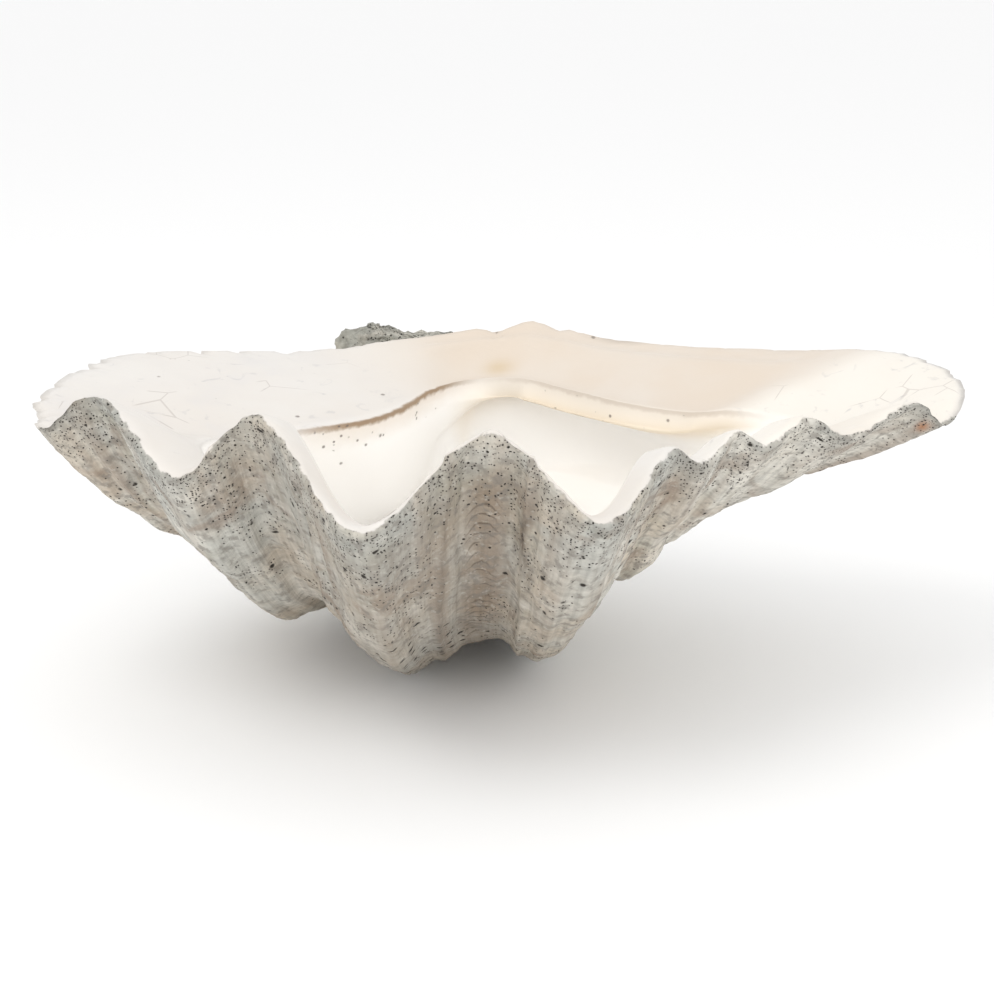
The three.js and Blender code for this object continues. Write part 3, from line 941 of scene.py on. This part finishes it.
def shell_material(finish):
    """One material for the valve: chalk outside and porcelain inside, with a ragged border at the lip."""
    material = bpy.data.materials.new("clam shell")
    material.use_nodes = True
    tree = material.node_tree
    tree.nodes.clear()
    where = node(tree, "ShaderNodeTexCoord").outputs["Object"]
    growth = node(tree, "ShaderNodeUVMap", uv_map="growth").outputs["UV"]
    ragged = times(tree, maths(tree, "SUBTRACT", clouds(tree, where, 110, 4), 0.5), BORDER_RAGGED)
    way = maths(tree, "ADD", mask(tree, "rim_way"), ragged)
    inside = between(tree, way, -BORDER_BLUR, BORDER_BLUR)
    pits = chalk_pits(tree, where, growth)
    porcelain, specks = porcelain_colour(tree, finish, where)
    chalk = chalk_colour(tree, finish, where, growth, pits)
    colour = mixed(tree, inside, chalk, porcelain)

    rough_noise = patches(tree, where, 60, 3, 0, 0.3, 0.7, -0.05, 0.09)
    plain = between(tree, inside, 0, 1, finish.outside_roughness, finish.inside_roughness)
    roughness = maths(tree, "ADD", plain, rough_noise)

    grain = clouds(tree, where, 520, 4)
    lines = clouds(tree, stretched(tree, growth, (30, 420, 1)), 1.0, 3)
    threads = clouds(tree, stretched(tree, growth, (420, 20, 1)), 1.0, 3)
    chalk_height = maths(tree, "ADD", times(tree, grain, 0.45), times(tree, lines, 0.5))
    chalk_height = maths(tree, "ADD", chalk_height, times(tree, threads, 0.55))
    chalk_height = maths(tree, "SUBTRACT", chalk_height, times(tree, pits, 1.3))
    calm = maths(tree, "SUBTRACT", times(tree, clouds(tree, where, 70, 3), 0.30), times(tree, specks, 0.6))
    height = node(tree, "ShaderNodeMix", {0: inside, 2: chalk_height, 3: calm}, data_type="FLOAT").outputs[0]
    bump = node(tree, "ShaderNodeBump", {"Height": height, "Strength": 0.75, "Distance": BUMP_DEPTH})

    shader = node(tree, "ShaderNodeBsdfPrincipled", {"Base Color": colour, "Roughness": roughness,
                                                     "Normal": bump.outputs["Normal"], "IOR": 1.5,
                                                     "Specular IOR Level": 0.4})
    output = node(tree, "ShaderNodeOutputMaterial")
    tree.links.new(shader.outputs[0], output.inputs["Surface"])
    return material


def plain_material(name, colour, roughness):
    material = bpy.data.materials.new(name)
    material.use_nodes = True
    shader = material.node_tree.nodes["Principled BSDF"]
    shader.inputs["Base Color"].default_value = (*colour, 1)
    shader.inputs["Roughness"].default_value = roughness
    shader.inputs["Specular IOR Level"].default_value = 0.1
    return material


# ---- the operators ----

class CLAM_OT_grow_valve(bpy.types.Operator):
    """Grow the valve, lay it on its worn ribs and give it its finish"""
    bl_idname = "clam.grow_valve"
    bl_label = "Grow the valve"

    def execute(self, context):
        scene = context.scene
        piece = grow_mesh(scene.clam_shape)
        if len(piece.data.polygons) < 1000:
            raise RuntimeError("the valve's skin has hardly any faces")
        piece.data.materials.append(shell_material(scene.clam_finish))
        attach(piece, "root")
        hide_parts("valve")
        return {"FINISHED"}


def add_lamp(name, place, target, size, power, colour):
    deselect_all()
    bpy.ops.object.light_add(type="AREA", location=place)
    lamp = bpy.context.object
    lamp.name = name
    lamp.rotation_euler = (Vector(target) - Vector(place)).to_track_quat("-Z", "Y").to_euler()
    lamp.data.shape = "DISK"
    lamp.data.size = size
    lamp.data.energy = power
    lamp.data.color = colour


class CLAM_OT_set_stage(bpy.types.Operator):
    """Lay the pale floor, hang the soft lamps and place the camera"""
    bl_idname = "clam.set_stage"
    bl_label = "Set the stage"

    def execute(self, context):
        scene = context.scene
        stage = scene.clam_stage
        deselect_all()
        bpy.ops.mesh.primitive_plane_add(size=60, location=(0, 0, 0))
        floor = context.object
        floor.name = "floor"
        floor.data.materials.append(plain_material("pale floor", stage.floor_colour, 0.9))

        world = bpy.data.worlds.new("pale room")
        world.use_nodes = True
        background = world.node_tree.nodes["Background"]
        background.inputs["Color"].default_value = (1, 1, 1, 1)
        background.inputs["Strength"].default_value = stage.sky
        scene.world = world
        middle = (0, 0, 0.12)
        add_lamp("key", (-1.1, -0.7, 2.1), middle, 1.4, stage.key_power, (1, 0.985, 0.96))
        add_lamp("fill", (0.9, -2.2, 0.9), middle, 1.8, stage.fill_power, (0.97, 0.985, 1))

        aim = set_down(np.array([0.0, -0.190, -0.065]), rest_shift())
        back = Matrix.Rotation(-stage.elevation, 3, "X") @ Vector((0, -stage.distance, 0))
        turn = Matrix(REST_TURN.tolist())
        bpy.ops.object.camera_add(location=Vector(aim) + turn @ back)
        camera = context.object
        camera.name = "camera"
        level = Matrix.Rotation(math.radians(90) - stage.elevation, 3, "X")
        camera.rotation_euler = (turn @ level).to_euler()
        camera.data.lens = stage.lens
        camera.data.sensor_width = 36
        camera.data.sensor_fit = "AUTO"
        camera.data.clip_end = 100
        scene.camera = camera
        scene.view_settings.view_transform = "Standard"
        scene.view_settings.look = "None"
        return {"FINISHED"}


class CLAM_PT_panel(bpy.types.Panel):
    """Settings and steps of the giant clam valve"""
    bl_idname = "CLAM_PT_panel"
    bl_label = "Giant clam valve"
    bl_space_type = "VIEW_3D"
    bl_region_type = "UI"
    bl_category = "Clam"

    def draw(self, context):
        for group, settings in GROUPS.items():
            box = self.layout.box()
            for name in settings.__annotations__:
                box.prop(getattr(context.scene, group), name)
        self.layout.operator(CLAM_OT_grow_valve.bl_idname)
        self.layout.operator(CLAM_OT_set_stage.bl_idname)


CLASSES = (ClamShape, ClamFinish, ClamStage, CLAM_OT_grow_valve, CLAM_OT_set_stage, CLAM_PT_panel)
GROUPS = {"clam_shape": ClamShape, "clam_finish": ClamFinish, "clam_stage": ClamStage}


def register():
    for item in CLASSES:
        bpy.utils.register_class(item)
    for name, group in GROUPS.items():
        setattr(bpy.types.Scene, name, PointerProperty(type=group))


def unregister():
    for name in GROUPS:
        delattr(bpy.types.Scene, name)
    for item in reversed(CLASSES):
        bpy.utils.unregister_class(item)


def main():
    register()
    bpy.ops.clam.grow_valve()
    bpy.ops.clam.set_stage()


if __name__ == "__main__":
    main()
